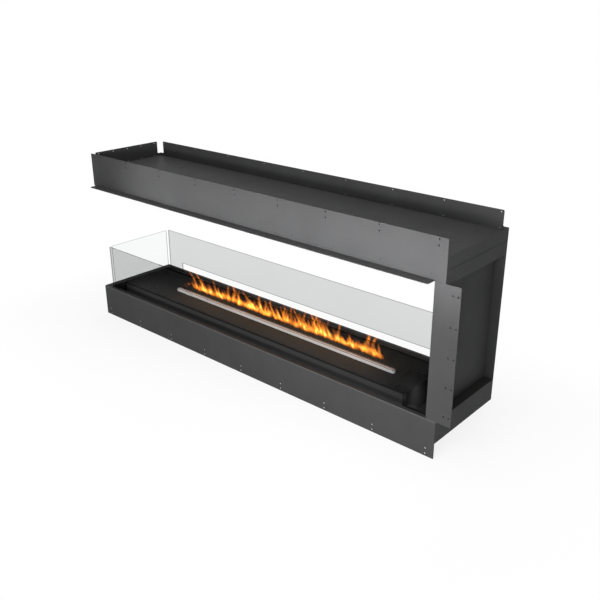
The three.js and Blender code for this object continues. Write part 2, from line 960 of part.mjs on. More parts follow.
// Pump in the left bay, with the pipes that join it to the tank and the trough
const pumpY = tankMiddle;
function fuelPump() {
  const left = pumpEnd - pumpLength;
  return join(
    box(
      left,
      pumpEnd,
      pumpY - pumpDepth / 2,
      pumpY + pumpDepth / 2,
      housingFloor,
      housingFloor + pumpHeight,
    ),
    rod("x", pumpY, housingFloor + pumpHeight / 2, left - pumpMotorLength, left + sheet, pumpMotorRadius),
    rod(
      "x",
      pumpY,
      pumpPortHeight,
      pumpEnd - sheet,
      pumpEnd + pumpPortLength,
      pipeRadius,
      roundSegments / 2,
    ),
  );
}
add("fuel_pump", fuelPump(), zinc);
add(
  "pump_inlet_pipe",
  pipe(
    new THREE.LineCurve3(
      new THREE.Vector3(pumpEnd + pumpPortLength + gap, pumpY, pumpPortHeight),
      new THREE.Vector3(tankStart - gap, pumpY, pumpPortHeight),
    ),
    pipeRadius,
    pipeBore,
    1,
  ),
  copper,
);
const feedX = pumpEnd - pumpLength / 2;
add(
  "fuel_feed_pipe",
  pipe(
    new THREE.CubicBezierCurve3(
      new THREE.Vector3(feedX, pumpY - pumpDepth / 2 - gap, pumpPortHeight),
      new THREE.Vector3(feedX, slotMiddle, pumpPortHeight),
      new THREE.Vector3(feedX, slotMiddle, tankPortHeight),
      new THREE.Vector3(troughStart - gap, slotMiddle, tankPortHeight),
    ),
    pipeRadius,
    pipeBore,
    pathSteps,
  ),
  copper,
);

// Cooling fan against the vents in the housing's rear wall
const fanRear = burnerRear - burnerWall - gap;
const fanFront = fanRear - fanThickness;
const fanZ = housingFloor + fanSize / 2;
function spoke(angle) {
  const geometry = new THREE.BoxGeometry(fanBore - hubRadius + sheet, spokeThickness, spokeWidth);
  geometry.translate((fanBore + hubRadius) / 2, 0, 0);
  geometry.rotateY(angle);
  geometry.translate(fanX, fanFront + spokeThickness / 2, fanZ);
  return solid(geometry);
}
function fanFrame() {
  const half = fanSize / 2;
  const ring = cut(
    box(fanX - half, fanX + half, fanFront, fanRear, fanZ - half, fanZ + half),
    rod("y", fanX, fanZ, fanFront - overrun, fanRear + overrun, fanBore),
  );
  const hub = rod("y", fanX, fanZ, fanFront, fanFront + spokeThickness, hubRadius);
  const spokes = [0, 1, 2].map((i) => spoke((i * 2 * Math.PI) / 3 + Math.PI / 2));
  const shaftHole = rod(
    "y",
    fanX,
    fanZ,
    fanFront - overrun,
    fanFront + spokeThickness + overrun,
    fanShaftRadius + gap,
    roundSegments / 2,
  );
  return cut(join(ring, hub, ...spokes), shaftHole);
}
add("fan_frame", fanFrame(), blackPlastic);

const rotorFront = fanFront + spokeThickness + 2 * gap;
function fanRotor() {
  const rotorRear = rotorFront + rotorThickness;
  const blades = Array.from({ length: bladeCount }, (_, i) => {
    const reach = rotorRadius - hubRadius / 2;
    const geometry = new THREE.BoxGeometry(reach, rotorThickness, bladeThickness);
    geometry.rotateX(bladeLean);
    geometry.translate(hubRadius / 2 + reach / 2, 0, 0);
    geometry.rotateY((i * 2 * Math.PI) / bladeCount);
    geometry.translate(fanX, (rotorFront + rotorRear) / 2, fanZ);
    return solid(geometry);
  });
  return join(
    rod("y", fanX, fanZ, rotorFront, rotorRear, hubRadius),
    rod("y", fanX, fanZ, fanFront, rotorRear, fanShaftRadius, roundSegments / 2),
    ...blades,
  );
}
add("fan_rotor", fanRotor(), blackPlastic);

// Control board on four standoffs
const boardX = burnerStart + boardFromEnd;
const boardY = burnerInset + boardFromFront;
const boardBottom = housingFloor + standoffHeight + gap;
function controlBoard() {
  const top = boardBottom + boardSheet;
  const blockShares = [
    [0.1, 0.35, 0.15, 0.45, 0.19],
    [0.1, 0.35, 0.55, 0.85, 0.19],
    [0.45, 0.6, 0.2, 0.5, 0.24],
    [0.68, 0.92, 0.6, 0.8, 0.12],
    [0.7, 0.9, 0.15, 0.35, 0.06],
  ];
  const blocks = blockShares.map(([x0, x1, y0, y1, rise]) =>
    box(
      boardX + x0 * boardLength,
      boardX + x1 * boardLength,
      boardY + y0 * boardDepth,
      boardY + y1 * boardDepth,
      top - boardSheet / 2,
      top + rise * boardDepth,
    ),
  );
  const card = box(boardX, boardX + boardLength, boardY, boardY + boardDepth, boardBottom, top);
  return join(card, ...blocks);
}
add("control_board", controlBoard(), boardGreen);
[0, 1, 2, 3].forEach((i) => {
  const x = i % 2 ? boardX + boardLength - standoffInset : boardX + standoffInset;
  const y = i < 2 ? boardY + standoffInset : boardY + boardDepth - standoffInset;
  add(
    `board_standoff_${i + 1}`,
    rod("z", x, y, housingFloor, housingFloor + standoffHeight, standoffRadius, roundSegments / 2),
    blackPlastic,
  );
});

add(
  "flame_sensor",
  join(
    rod("z", flameSensorX, flameSensorY, frameBottom, frameBottom + flameSensorHead, flameSensorRadius),
    rod(
      "z",
      flameSensorX,
      flameSensorY,
      burnerTop - flameSensorLength,
      frameBottom + flameSensorHead / 2,
      flameSensorStem,
      roundSegments / 2,
    ),
  ),
  blackPlastic,
);

// Service bay: a panel on two legs holds the button and the lamp and steadies the filler neck
const buttonX = lidMiddle - lidWidth / 4;
const lampX = lidMiddle + lidWidth / 4;
function controlPanel() {
  const panelRear = neckY + neckRadius + panelMargin;
  const top = rounded(THREE.Shape, lidLeft, lidRight, lidFront, panelRear, sheet);
  drill(top, lidMiddle, neckY, neckRadius + overrun);
  drill(top, buttonX, controlsY, buttonStemRadius + gap);
  drill(top, lampX, controlsY, lampStemRadius + gap);
  const legRear = lidFront + panelLegReach;
  return join(
    prism("z", top, panelLevel, panelTop),
    box(lidLeft, lidLeft + panelSheet, lidFront + sheet, legRear, housingFloor, panelTop - gap),
    box(lidRight - panelSheet, lidRight, lidFront + sheet, legRear, housingFloor, panelTop - gap),
  );
}
add("control_panel", controlPanel(), zinc);

const buttonBottom = panelTop + buttonTravel + gap;
add(
  "power_button",
  join(
    rod("z", buttonX, controlsY, buttonBottom, buttonBottom + buttonHeight, buttonRadius),
    rod(
      "z",
      buttonX,
      controlsY,
      buttonBottom - buttonStemLength,
      buttonBottom + overrun,
      buttonStemRadius,
      roundSegments / 2,
    ),
  ),
  blackPlastic,
);
add(
  "level_lamp",
  join(
    turned(
      [
        [0, panelTop + gap],
        [lampRadius, panelTop + gap],
        [lampRadius, panelTop + lampRadius / 3],
        [lampRadius / 2, panelTop + lampRadius / 1.2],
        [0, panelTop + lampRadius],
      ],
      lampX,
      controlsY,
    ),
    rod(
      "z",
      lampX,
      controlsY,
      panelLevel - lampStemRadius,
      panelTop + overrun,
      lampStemRadius,
      roundSegments / 2,
    ),
  ),
  amber,
);

// Service lid, flush in the top plate, with two finger slots and its hinge at the rear
function serviceLid() {
  const shape = rounded(THREE.Shape, lidLeft, lidRight, lidFront, lidRear, sheet);
  for (const y of [lidFront + fingerMargin, lidFront + fingerMargin + fingerPitch]) {
    const half = fingerWidth / 2;
    shape.holes.push(
      rounded(
        THREE.Path,
        lidMiddle - fingerLength / 2,
        lidMiddle + fingerLength / 2,
        y - half,
        y + half,
        half - gap,
      ),
    );
  }
  const tab = outline([
    [lidRear - tabReach, burnerTop - sheet / 2],
    [lidRear, burnerTop - sheet / 2],
    [lidRear, burnerTop + gap],
    [hingeY, burnerTop + gap],
    [hingeY, burnerTop + gap + tabThickness],
    [lidRear - tabReach, burnerTop + gap + tabThickness],
  ]);
  const left = lidMiddle - knuckleLength / 2;
  const right = lidMiddle + knuckleLength / 2;
  return cut(
    join(
      prism("z", shape, burnerPlateBottom, burnerTop),
      prism("x", tab, left, right),
      rod("x", hingeY, hingeZ, left, right, knuckleRadius),
    ),
    rod("x", hingeY, hingeZ, left - overrun, right + overrun, pinRadius + gap, roundSegments / 2),
  );
}
add("service_lid", serviceLid(), blackSteel);

function hingeLeaf() {
  const left = lidMiddle - leafLength / 2;
  const right = lidMiddle + leafLength / 2;
  const half = knuckleLength / 2 + gap;
  const base = burnerTop + gap;
  const leafFront = hingeY + knuckleRadius + 2 * gap;
  const knuckle = (x0, x1) =>
    join(
      rod("x", hingeY, hingeZ, x0, x1, knuckleRadius),
      box(x0, x1, hingeY, leafFront + gap, base, base + leafThickness),
    );
  return cut(
    join(
      box(left, right, leafFront, leafFront + leafDepth, base, base + leafThickness),
      knuckle(left, lidMiddle - half),
      knuckle(lidMiddle + half, right),
    ),
    rod("x", hingeY, hingeZ, left - overrun, right + overrun, pinRadius + gap, roundSegments / 2),
  );
}
add("lid_hinge_leaf", hingeLeaf(), blackSteel);
add(
  "lid_hinge_pin",
  rod(
    "x",
    hingeY,
    hingeZ,
    lidMiddle - leafLength / 2 - gap,
    lidMiddle + leafLength / 2 + gap,
    pinRadius,
    roundSegments / 2,
  ),
  stainless,
);

// Right bay: mains inlet on the burner box's end, cable duct and cable grommet
function mainsInlet() {
  const halfWidth = inletWidth / 2;
  const halfHeight = inletHeight / 2;
  const faceX = burnerEnd + gap;
  const outerX = faceX + inletFlangeThickness;
  const rearX = burnerEnd - inletDepth;
  const body = join(
    box(
      rearX,
      outerX - gap,
      inletY - halfWidth,
      inletY + halfWidth,
      inletZ - halfHeight,
      inletZ + halfHeight,
    ),
    box(
      faceX,
      outerX,
      inletY - halfWidth - inletFlange,
      inletY + halfWidth + inletFlange,
      inletZ - halfHeight - inletFlange / 2,
      inletZ + halfHeight + inletFlange / 2,
    ),
  );
  const recess = box(
    rearX + inletWall,
    outerX + overrun,
    inletY - halfWidth + inletWall,
    inletY + halfWidth - inletWall,
    inletZ - halfHeight + inletWall,
    inletZ + halfHeight - inletWall,
  );
  const contacts = spread(3, inletY - inletWidth / 4, inletY + inletWidth / 4).map((y) =>
    box(
      rearX,
      rearX + inletWall + contactLength,
      y - contactThickness / 2,
      y + contactThickness / 2,
      inletZ - contactWidth / 2,
      inletZ + contactWidth / 2,
    ),
  );
  return join(body.subtract(recess), ...contacts);
}
add("mains_inlet", mainsInlet(), blackPlastic);

add(
  "cable_duct",
  cut(
    box(
      burnerEnd + gap,
      burnerEnd + ductLength,
      burnerInset,
      burnerInset + ductWidth,
      floorTop,
      floorTop + ductHeight,
    ),
    box(
      burnerEnd,
      length,
      burnerInset + panelSheet,
      burnerInset + ductWidth - panelSheet,
      sheet,
      floorTop + ductHeight - panelSheet,
    ),
  ),
  zinc,
);

const grommetRadius = grommetHoleRadius - gap;
add(
  "cable_grommet",
  turned(
    [
      [grommetBore, gap],
      [grommetRadius, gap],
      [grommetRadius, floorTop],
      [grommetRadius + grommetFlange, floorTop],
      [grommetRadius + grommetFlange, floorTop + grommetThickness],
      [grommetBore, floorTop + grommetThickness],
      [grommetBore, gap],
    ],
    grommetX,
    grommetY,
  ),
  rubber,
);

// The origin is the centre of the base
part.position.set(-length / 2, -depth / 2, 0);

const fireplace = new THREE.Group();
fireplace.add(part);
export default fireplace;
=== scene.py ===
import json
import math
import random
from collections import namedtuple

import bmesh
import bpy
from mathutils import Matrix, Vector, noise


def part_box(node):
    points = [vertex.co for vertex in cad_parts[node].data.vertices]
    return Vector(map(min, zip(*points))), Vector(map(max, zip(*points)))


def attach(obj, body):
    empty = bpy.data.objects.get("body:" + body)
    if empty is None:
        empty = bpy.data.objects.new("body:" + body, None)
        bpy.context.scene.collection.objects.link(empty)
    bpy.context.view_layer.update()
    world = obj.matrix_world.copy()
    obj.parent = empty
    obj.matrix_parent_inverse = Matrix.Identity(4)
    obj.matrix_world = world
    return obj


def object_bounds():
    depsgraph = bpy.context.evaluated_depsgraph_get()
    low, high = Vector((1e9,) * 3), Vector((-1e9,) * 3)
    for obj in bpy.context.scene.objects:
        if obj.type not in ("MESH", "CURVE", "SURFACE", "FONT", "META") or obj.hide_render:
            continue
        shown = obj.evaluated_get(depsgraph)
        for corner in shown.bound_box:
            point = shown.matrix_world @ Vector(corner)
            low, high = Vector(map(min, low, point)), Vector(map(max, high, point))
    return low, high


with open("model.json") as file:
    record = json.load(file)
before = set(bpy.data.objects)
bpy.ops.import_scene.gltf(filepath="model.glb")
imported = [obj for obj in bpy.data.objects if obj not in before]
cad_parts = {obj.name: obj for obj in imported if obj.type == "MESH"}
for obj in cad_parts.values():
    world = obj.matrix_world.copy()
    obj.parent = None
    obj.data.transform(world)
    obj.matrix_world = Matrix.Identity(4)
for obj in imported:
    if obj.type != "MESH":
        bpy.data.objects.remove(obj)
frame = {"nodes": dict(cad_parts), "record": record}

cad_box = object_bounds()
nodes = frame["nodes"]
scene = bpy.context.scene

# The picture's camera: place in metres, tilt and turn in degrees, lens and sensor in millimetres
CAMERA_PLACE = (1.6239, -1.6799, 1.1525)
CAMERA_TILT = 67.95
CAMERA_TURN = 41.24
CAMERA_LENS = 44.96
CAMERA_SENSOR = 36
CAMERA_SHIFT = (-0.0101, -0.0197)


def make_camera():
    data = bpy.data.cameras.new("camera")
    data.lens = CAMERA_LENS
    data.sensor_width = CAMERA_SENSOR
    data.shift_x, data.shift_y = CAMERA_SHIFT
    camera = bpy.data.objects.new("camera", data)
    camera.location = CAMERA_PLACE
    camera.rotation_euler = (math.radians(CAMERA_TILT), 0, math.radians(CAMERA_TURN))
    scene.collection.objects.link(camera)
    scene.camera = camera


make_camera()


# Shader nodes and colours
def fill(tree, socket, value):
    """Links another node's output to a socket, or sets a number or colour on it."""
    if isinstance(value, bpy.types.NodeSocket):
        tree.links.new(value, socket)
    else:
        socket.default_value = value


def fill_inputs(tree, node, inputs):
    """Fills a node's sockets by their names, where _ stands for a space."""
    for name, value in inputs.items():
        fill(tree, node.inputs[name.replace("_", " ")], value)


def new_node(tree, kind, **inputs):
    """A new node with its sockets filled by name."""
    node = tree.nodes.new(kind)
    fill_inputs(tree, node, inputs)
    return node


def maths(tree, kind, *values):
    """The result of one sum, comparison or the like on numbers and other nodes' outputs."""
    node = tree.nodes.new("ShaderNodeMath")
    node.operation = kind
    for socket, value in zip(node.inputs, values):
        fill(tree, socket, value)
    return node.outputs["Value"]


def mix_shaders(tree, share, first, second):
    """The first shader where share is 0, and the second where it is 1."""
    node = tree.nodes.new("ShaderNodeMixShader")
    for socket, output in zip(node.inputs, (share, first, second)):
        tree.links.new(output, socket)
    return node.outputs["Shader"]


def grey(value):
    return (value, value, value)


def opaque(color):
    return (*color, 1)


# Most values of a noise lie between these
NOISE_LOW = 0.3
NOISE_HIGH = 0.7

BEVEL_SAMPLES = 4


class Finish:
    """A material with a Principled surface, and the nodes that the finishes below share."""

    def __init__(self, name):
        self.material = bpy.data.materials.new(name)
        self.material.use_nodes = True
        self.tree = self.material.node_tree
        self.surface = self.tree.nodes["Principled BSDF"]
        where = self.node("ShaderNodeTexCoord")
        self.place = where.outputs["Object"]
        self.normal = where.outputs["Normal"]

    def node(self, kind, **inputs):
        return new_node(self.tree, kind, **inputs)

    def maths(self, kind, *values):
        return maths(self.tree, kind, *values)

    def set(self, **inputs):
        fill_inputs(self.tree, self.surface, inputs)

    def blend_surface(self, share, shader):
        """Shows another shader in place of the surface, as far as share says."""
        mixed = mix_shaders(self.tree, share, self.surface.outputs["BSDF"], shader)
        fill(self.tree, self.tree.nodes["Material Output"].inputs["Surface"], mixed)

    def along(self, vector, axis):
        """A vector's part along one axis."""
        return self.node("ShaderNodeSeparateXYZ", Vector=vector).outputs[axis]

    def mix(self, share, first, second):
        """The first colour where share is 0, and the second where it is 1."""
        return self.node("ShaderNodeMixRGB", Fac=share, Color1=first, Color2=second).outputs["Color"]

    def texture(self, kind, stretch=None, **inputs):
        """A texture over the object, finer along the axes where stretch is larger."""
        where = self.place
        if stretch:
            where = self.node("ShaderNodeMapping", Vector=where, Scale=stretch).outputs["Vector"]
        return self.node(kind, Vector=where, **inputs)

    def noise(self, scale=1.0, detail=2.0, stretch=None, distortion=0.0):
        kind = "ShaderNodeTexNoise"
        return self.texture(kind, stretch, Scale=scale, Detail=detail, Distortion=distortion).outputs["Fac"]

    def ramp(self, value, *stops):
        """Colours by value: each stop is a position and a colour."""
        node = self.node("ShaderNodeValToRGB", Fac=value)
        elements = node.color_ramp.elements
        while len(elements) < len(stops):
            elements.new(0.5)
        for element, (position, color) in zip(elements, stops):
            element.position = position
            element.color = opaque(color)
        return node.outputs["Color"]

    def shade(self, grain, dark, light):
        """A colour from dark to light, as a noise goes."""
        return self.ramp(grain, (NOISE_LOW, dark), (NOISE_HIGH, light))

    def spread(self, value, low, high, start=NOISE_LOW, end=NOISE_HIGH):
        """A number from low to high, as the value goes from start to end."""
        range_ends = {"From_Min": start, "From_Max": end, "To_Min": low, "To_Max": high}
        return self.node("ShaderNodeMapRange", Value=value, **range_ends).outputs["Result"]

    def bump(self, height, strength, distance, bevel=0.0):
        """A fine relief, on edges softened by the radius bevel."""
        node = self.node("ShaderNodeBump", Height=height, Strength=strength, Distance=distance)
        if bevel:
            edge = self.node("ShaderNodeBevel", Radius=bevel)
            edge.samples = BEVEL_SAMPLES
            fill(self.tree, node.inputs["Normal"], edge.outputs["Normal"])
        self.set(Normal=node.outputs["Normal"])


# Radii of softened edges, in metres
CASING_BEVEL = 0.0012
PANEL_BEVEL = 0.0006
PLASTIC_BEVEL = 0.0005
SMALL_BEVEL = 0.0004


def powder_coat(name, dark, light, shine=0.0, bevel=SMALL_BEVEL, painted_light_start=None, painted_light_color=None):
    """Fine-textured paint: orange-peel bump, faint mottling and slightly uneven gloss.
    Above a given height, where there is one, the paint takes one colour of painted light or shade."""
    finish = Finish(name)
    color = finish.shade(finish.noise(scale=9.0, detail=6.0), dark, light)
    # Above that height the colour is painted light or shade, not the paint's own
    if painted_light_start is not None:
        above = finish.maths("GREATER_THAN", finish.along(finish.place, "Z"), painted_light_start)
        color = finish.mix(above, color, opaque(painted_light_color))
    gloss = finish.noise(scale=35.0, detail=4.0)
    finish.set(Base_Color=color, Roughness=finish.spread(gloss, low=0.46, high=0.55))
    finish.set(Specular_IOR_Level=shine, IOR=1.5)
    finish.bump(finish.noise(scale=900.0), strength=0.12, distance=0.0002, bevel=bevel)
    return finish.material


# Noise scales per axis: brush lines along the length of the fireplace, and an even grain
BRUSH_ALONG_X = (3, 1500, 1500)
EVEN_GRAIN = (60, 60, 60)


def brushed_metal(name, dark, light, stretch, rough):
    """Metal with the grain that stretch gives it."""
    finish = Finish(name)
    lines = finish.noise(detail=5.0, stretch=stretch)
    finish.set(Base_Color=finish.shade(lines, dark, light), Metallic=1.0)
    finish.set(Roughness=finish.spread(lines, low=rough - 0.06, high=rough + 0.08))
    finish.bump(lines, strength=0.2, distance=0.0001, bevel=SMALL_BEVEL)
    return finish.material


def grained_plastic(name, dark, light, rough):
    finish = Finish(name)
    grain = finish.noise(scale=900.0, detail=4.0)
    finish.set(Base_Color=finish.shade(grain, dark, light))
    finish.set(Roughness=finish.spread(grain, low=rough - 0.05, high=rough + 0.05))
    finish.bump(grain, strength=0.3, distance=0.0002, bevel=PLASTIC_BEVEL)
    return finish.material


# A pane's refraction index, kept low so that neither its cut edges nor grazing views of it light up
PANE_IOR = 1.01

# What is left of a pane's tint on its cut edges as painted shade, and how much a trace of dust lifts it
# elsewhere
CUT_EDGE_PAINTED_SHADE = (0.3, 0.31, 0.31)
DUST_LIFT = 1.02

# The least part of a normal along the pane's thin axis by which it belongs to a broad face
BROAD_FACE = 0.7


def pane_glass(name, tint_and_painted_shade, thin_axis):
    """Toughened glass with a trace of dust, whose tint is partly painted shade and darker still as painted
    shade on its cut edges, and which lets the lamps' light through.
    """
    finish = Finish(name)
    across = finish.maths("ABSOLUTE", finish.along(finish.normal, thin_axis))
    broad = finish.maths("GREATER_THAN", across, BROAD_FACE)
    cut_edge_shade = opaque(share * part for share, part in zip(CUT_EDGE_PAINTED_SHADE, tint_and_painted_shade))
    dusty = tuple(min(1.0, DUST_LIFT * part) for part in tint_and_painted_shade)
    face = finish.shade(finish.noise(scale=5.0, detail=5.0), tint_and_painted_shade, dusty)
    finish.set(Base_Color=finish.mix(broad, cut_edge_shade, face))
    finish.set(Roughness=0.0, IOR=PANE_IOR, Transmission_Weight=1.0)
    finish.bump(finish.noise(scale=3.0, detail=1.0), strength=0.02, distance=0.001)
    clear = finish.node("ShaderNodeBsdfTransparent", Color=opaque(tint_and_painted_shade))
    path = finish.node("ShaderNodeLightPath")
    finish.blend_surface(path.outputs["Is Shadow Ray"], clear.outputs["BSDF"])
    return finish.material


# A brownish darker colour over the slot frame's top: the colour, the width of the pale line that it leaves
# along both sides, and how deep it reaches, in metres
FRAME_TOP_BROWN = (0.17, 0.1, 0.068)
FRAME_TOP_EDGE = 0.0004
FRAME_TOP_DEPTH = 0.0003


def satin_metal(node_name, dark, light):
    """Bead-blasted bright metal, pale from every side, and brownish darker on top within a pale line along
    both sides.
    """
    finish = Finish(node_name)
    low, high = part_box(node_name)
    grain = finish.noise(detail=4.0, stretch=BRUSH_ALONG_X)
    off_middle = finish.maths("SUBTRACT", finish.along(finish.place, "Y"), (low.y + high.y) / 2)
    aside = finish.maths("ABSOLUTE", off_middle)
    within_rim = finish.maths("LESS_THAN", aside, (high.y - low.y) / 2 - FRAME_TOP_EDGE)
    on_top = finish.maths("GREATER_THAN", finish.along(finish.place, "Z"), high.z - FRAME_TOP_DEPTH)
    brown_top = finish.maths("MULTIPLY", on_top, within_rim)
    finish.set(Base_Color=finish.mix(brown_top, finish.shade(grain, dark, light), opaque(FRAME_TOP_BROWN)))
    finish.set(Roughness=finish.spread(grain, low=0.3, high=0.42), Metallic=0.12)
    finish.bump(grain, strength=0.1, distance=0.0001)
    return finish.material


def mineral_board():
    finish = Finish("mineral_board")
    fibre = finish.noise(scale=220.0, detail=8.0, stretch=(1, 0.3, 1))
    color = finish.ramp(fibre, (0.25, (0.45, 0.41, 0.33)), (0.75, (0.68, 0.65, 0.56)))
    finish.set(Base_Color=color, Roughness=0.92)
    finish.bump(fibre, strength=0.6, distance=0.0008)
    return finish.material


# The card's top over its standoffs, and where its components begin over that, in metres
CARD_TOP = 0.0019
COMPONENTS_START = 0.0003
COMPONENTS_FULL = 0.0005


def circuit_board():
    """Green card with thin tracks, and dark or bluish moulded components standing on it."""
    finish = Finish("circuit_board")
    card_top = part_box("board_standoff_1")[1].z + CARD_TOP
    start = card_top + COMPONENTS_START
    end = card_top + COMPONENTS_FULL
    above = finish.spread(finish.along(finish.place, "Z"), low=0.0, high=1.0, start=start, end=end)
    card = finish.texture(
        "ShaderNodeTexBrick",
        Scale=60,
        Mortar_Size=0.012,
        Color1=opaque((0.012, 0.09, 0.035)),
        Color2=opaque((0.014, 0.11, 0.04)),
        Mortar=opaque((0.06, 0.22, 0.09)),
    )
    patches = finish.noise(scale=18.0, detail=0.0)
    components = finish.ramp(patches, (0.42, (0.01, 0.01, 0.012)), (0.58, (0.03, 0.05, 0.12)))
    finish.set(Base_Color=finish.mix(above, card.outputs["Color"], components), Roughness=0.4)
    finish.bump(card.outputs["Fac"], strength=0.3, distance=0.0002, bevel=SMALL_BEVEL)
    return finish.material


def amber_lens():
    finish = Finish("amber_lens")
    facets = finish.texture("ShaderNodeTexVoronoi", Scale=900).outputs["Distance"]
    color = finish.ramp(facets, (0.0, (0.9, 0.42, 0.06)), (0.8, (0.6, 0.2, 0.02)))
    finish.set(Base_Color=color, Emission_Color=color)
    finish.set(Roughness=0.15, IOR=1.5, Emission_Strength=0.6)
    finish.bump(facets, strength=0.4, distance=0.0003)
    return finish.material


# The casing's grey paint, and its small sheen
PAINT_DARK = (0.058, 0.058, 0.059)
PAINT_LIGHT = (0.066, 0.066, 0.067)
PAINT_SHINE = 0.03

# A finish for each material slot of the record
finishes = {
    "grey_paint": powder_coat("grey_paint", PAINT_DARK, PAINT_LIGHT, PAINT_SHINE, CASING_BEVEL),
    "black_steel": powder_coat("black_steel", grey(0.036), grey(0.042)),
    "stainless": brushed_metal("stainless", grey(0.62), grey(0.8), BRUSH_ALONG_X, rough=0.28),
    "copper": brushed_metal("copper", (0.62, 0.36, 0.26), (0.85, 0.58, 0.46), BRUSH_ALONG_X, rough=0.3),
    "zinc_steel": brushed_metal("zinc_steel", (0.38, 0.39, 0.41), (0.5, 0.51, 0.53), EVEN_GRAIN, rough=0.42),
    # The panes' tints are partly the glass's own and mostly painted shade, set apart per pane: darkest in
    # front
    "clear_glass": pane_glass("clear_glass", (0.585, 0.59, 0.59), "Y"),
    "mineral_board": mineral_board(),
    "black_plastic": grained_plastic("black_plastic", (0.012, 0.012, 0.013), (0.02, 0.02, 0.021), rough=0.5),
    "rubber": grained_plastic("rubber", grey(0.016), grey(0.024), rough=0.8),
    "circuit_board": circuit_board(),
    "amber_lens": amber_lens(),
}

# The tray's rim is darkened as painted shade, and the lower panel's top edge is lightened as a painted
# highlight
RIM_PAINTED_SHADE = (0.034, 0.033, 0.032)
RIM_SHADE_DEPTH = 0.0005
EDGE_PAINTED_HIGHLIGHT = grey(0.1)
EDGE_HIGHLIGHT_DEPTH = 0.003
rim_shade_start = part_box("base_tray")[1].z - RIM_SHADE_DEPTH
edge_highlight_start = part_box("lower_front_panel")[1].z - EDGE_HIGHLIGHT_DEPTH
# The tray's paint, darker on its rim's top as painted shade
tray_paint_shaded_rim = powder_coat("tray_paint_shaded_rim", PAINT_DARK, PAINT_LIGHT, PAINT_SHINE, SMALL_BEVEL, rim_shade_start, RIM_PAINTED_SHADE)
# The lower panel's paint, lighter along its top edge as a painted highlight
panel_paint_highlit_edge = powder_coat("panel_paint_highlit_edge", PAINT_DARK, PAINT_LIGHT, PAINT_SHINE, PANEL_BEVEL, edge_highlight_start, EDGE_PAINTED_HIGHLIGHT)
rail_black = powder_coat("rail_black", grey(0.04), grey(0.046))

# Finishes of single nodes, in place of their slot's
own_finishes = {
    # Copies of the front pane's glass with less painted shade in their tints: lighter at the rear, nearly
    # clear at the side
    "rear_glass": pane_glass("rear_glass", (0.69, 0.695, 0.695), "Y"),
    "left_glass": pane_glass("side_glass_painted_tint", (0.93, 0.94, 0.94), "X"),
    "slot_frame": satin_metal("slot_frame", grey(0.88), grey(0.94)),
    "base_tray": tray_paint_shaded_rim,
    "lower_front_panel": panel_paint_highlit_edge,
    "cable_duct": powder_coat("duct_paint", grey(0.085), grey(0.095)),
    "burner_housing": powder_coat("housing_paint", grey(0.046), grey(0.052)),
    "front_glass_rail": rail_black,
    "rear_glass_rail": rail_black,
    "left_glass_rail": rail_black,
}


def dress(obj, material):
    obj.data.materials.clear()
    obj.data.materials.append(material)


for entry in frame["record"]["subparts"]:
    name = entry["node"]
    dress(nodes[name], own_finishes.get(name, finishes[entry["material_slot"]]))


def piece(name, data, body, material):
    """Adds a piece of the scene that rides on a body, and fills a material slot if it has one."""
    obj = bpy.data.objects.new(name, data)
    scene.collection.objects.link(obj)
    dress(obj, material)
    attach(obj, body)


# Flames: thin sheets along the burner slot and a few across it, cut to the outline of the fire
FLAME_SEED = 11
MM_PER_METRE = 1000

# Where the fire stands, in metres: in from the ends of the burner bar, and over the slot frame
FLAME_LEFT = 0.0325
FLAME_RIGHT = 0.0395
FLAME_GAP = 0.017

# The sheets along the slot: how far behind its middle they start and end, how far they begin to the left
# of the fire, how much longer than the fire they are, and how high they can be
LONG_SHEETS = ((-0.005, 0.004), (0.0045, -0.0045), (0.0, 0.001))
SHEET_START = 0.03
SHEET_EXTRA = 0.05
SHEET_HEIGHT = 0.2

# The cells of a sheet, the heat from which they show, and the fewest that stay together
COLUMN = 0.0024
ROW = 0.0028
LEAST_HEAT = 0.05
SMALLEST_PATCH = 20

# A tongue stands on its foot, at a rise over the flames' bottom, and leans to the left at its tip by a
# share of its height; half is its half width. A lump is a soft oval in the foot of the fire.
Tongue = namedtuple("Tongue", "foot rise height lean half strength")
Lump = namedtuple("Lump", "middle rise wide high strength")

# The large tongues: foot from the left end of the fire, height and half width in millimetres
LARGE_TONGUES = (
    # foot, height, lean, half width, strength
    (76, 96, 0.72, 3.6, 0.7),
    (98, 86, 0.6, 3.6, 0.7),
    (66, 36, 1.45, 2.4, 0.4),
    (84, 46, 1.2, 2.6, 0.4),
    (122, 52, 0.8, 5.0, 0.6),
    (145, 48, 0.5, 5.0, 0.55),
    (176, 84, 0.1, 2.6, 0.65),
    (192, 52, 0.3, 4.0, 0.6),
    (214, 40, 0.5, 4.5, 0.55),
    (248, 92, 0.12, 2.8, 0.55),
    (264, 124, 0.14, 4.0, 0.62),
    (280, 86, 0.05, 3.0, 0.6),
    (296, 74, -0.1, 2.6, 0.5),
    (372, 62, 1.05, 5.5, 0.95),
    (352, 44, 0.7, 4.5, 0.6),
    (408, 118, 0.22, 4.4, 0.76),
    (430, 60, 0.4, 4.5, 0.6),
    (456, 78, 0.12, 3.4, 0.62),
    (490, 44, 0.5, 5.0, 0.6),
    (520, 64, 0.3, 4.0, 0.66),
    (548, 76, 0.2, 3.4, 0.6),
    (574, 68, 0.3, 3.6, 0.66),
    (604, 120, 0.16, 3.6, 0.55),
    (636, 84, 0.12, 4.6, 0.7),
    (658, 88, 0.05, 4.0, 0.66),
    (684, 56, 0.3, 4.0, 0.6),
    (708, 70, 0.3, 3.4, 0.6),
    (738, 118, 0.1, 3.0, 0.45),
    (762, 42, 0.5, 5.0, 0.66),
    (796, 40, 0.4, 4.6, 0.6),
    (830, 34, 0.5, 5.0, 0.6),
    (856, 84, 0.1, 5.0, 0.76),
    (868, 84, -0.3, 3.6, 0.6),
    (888, 52, -0.1, 3.4, 0.6),
)

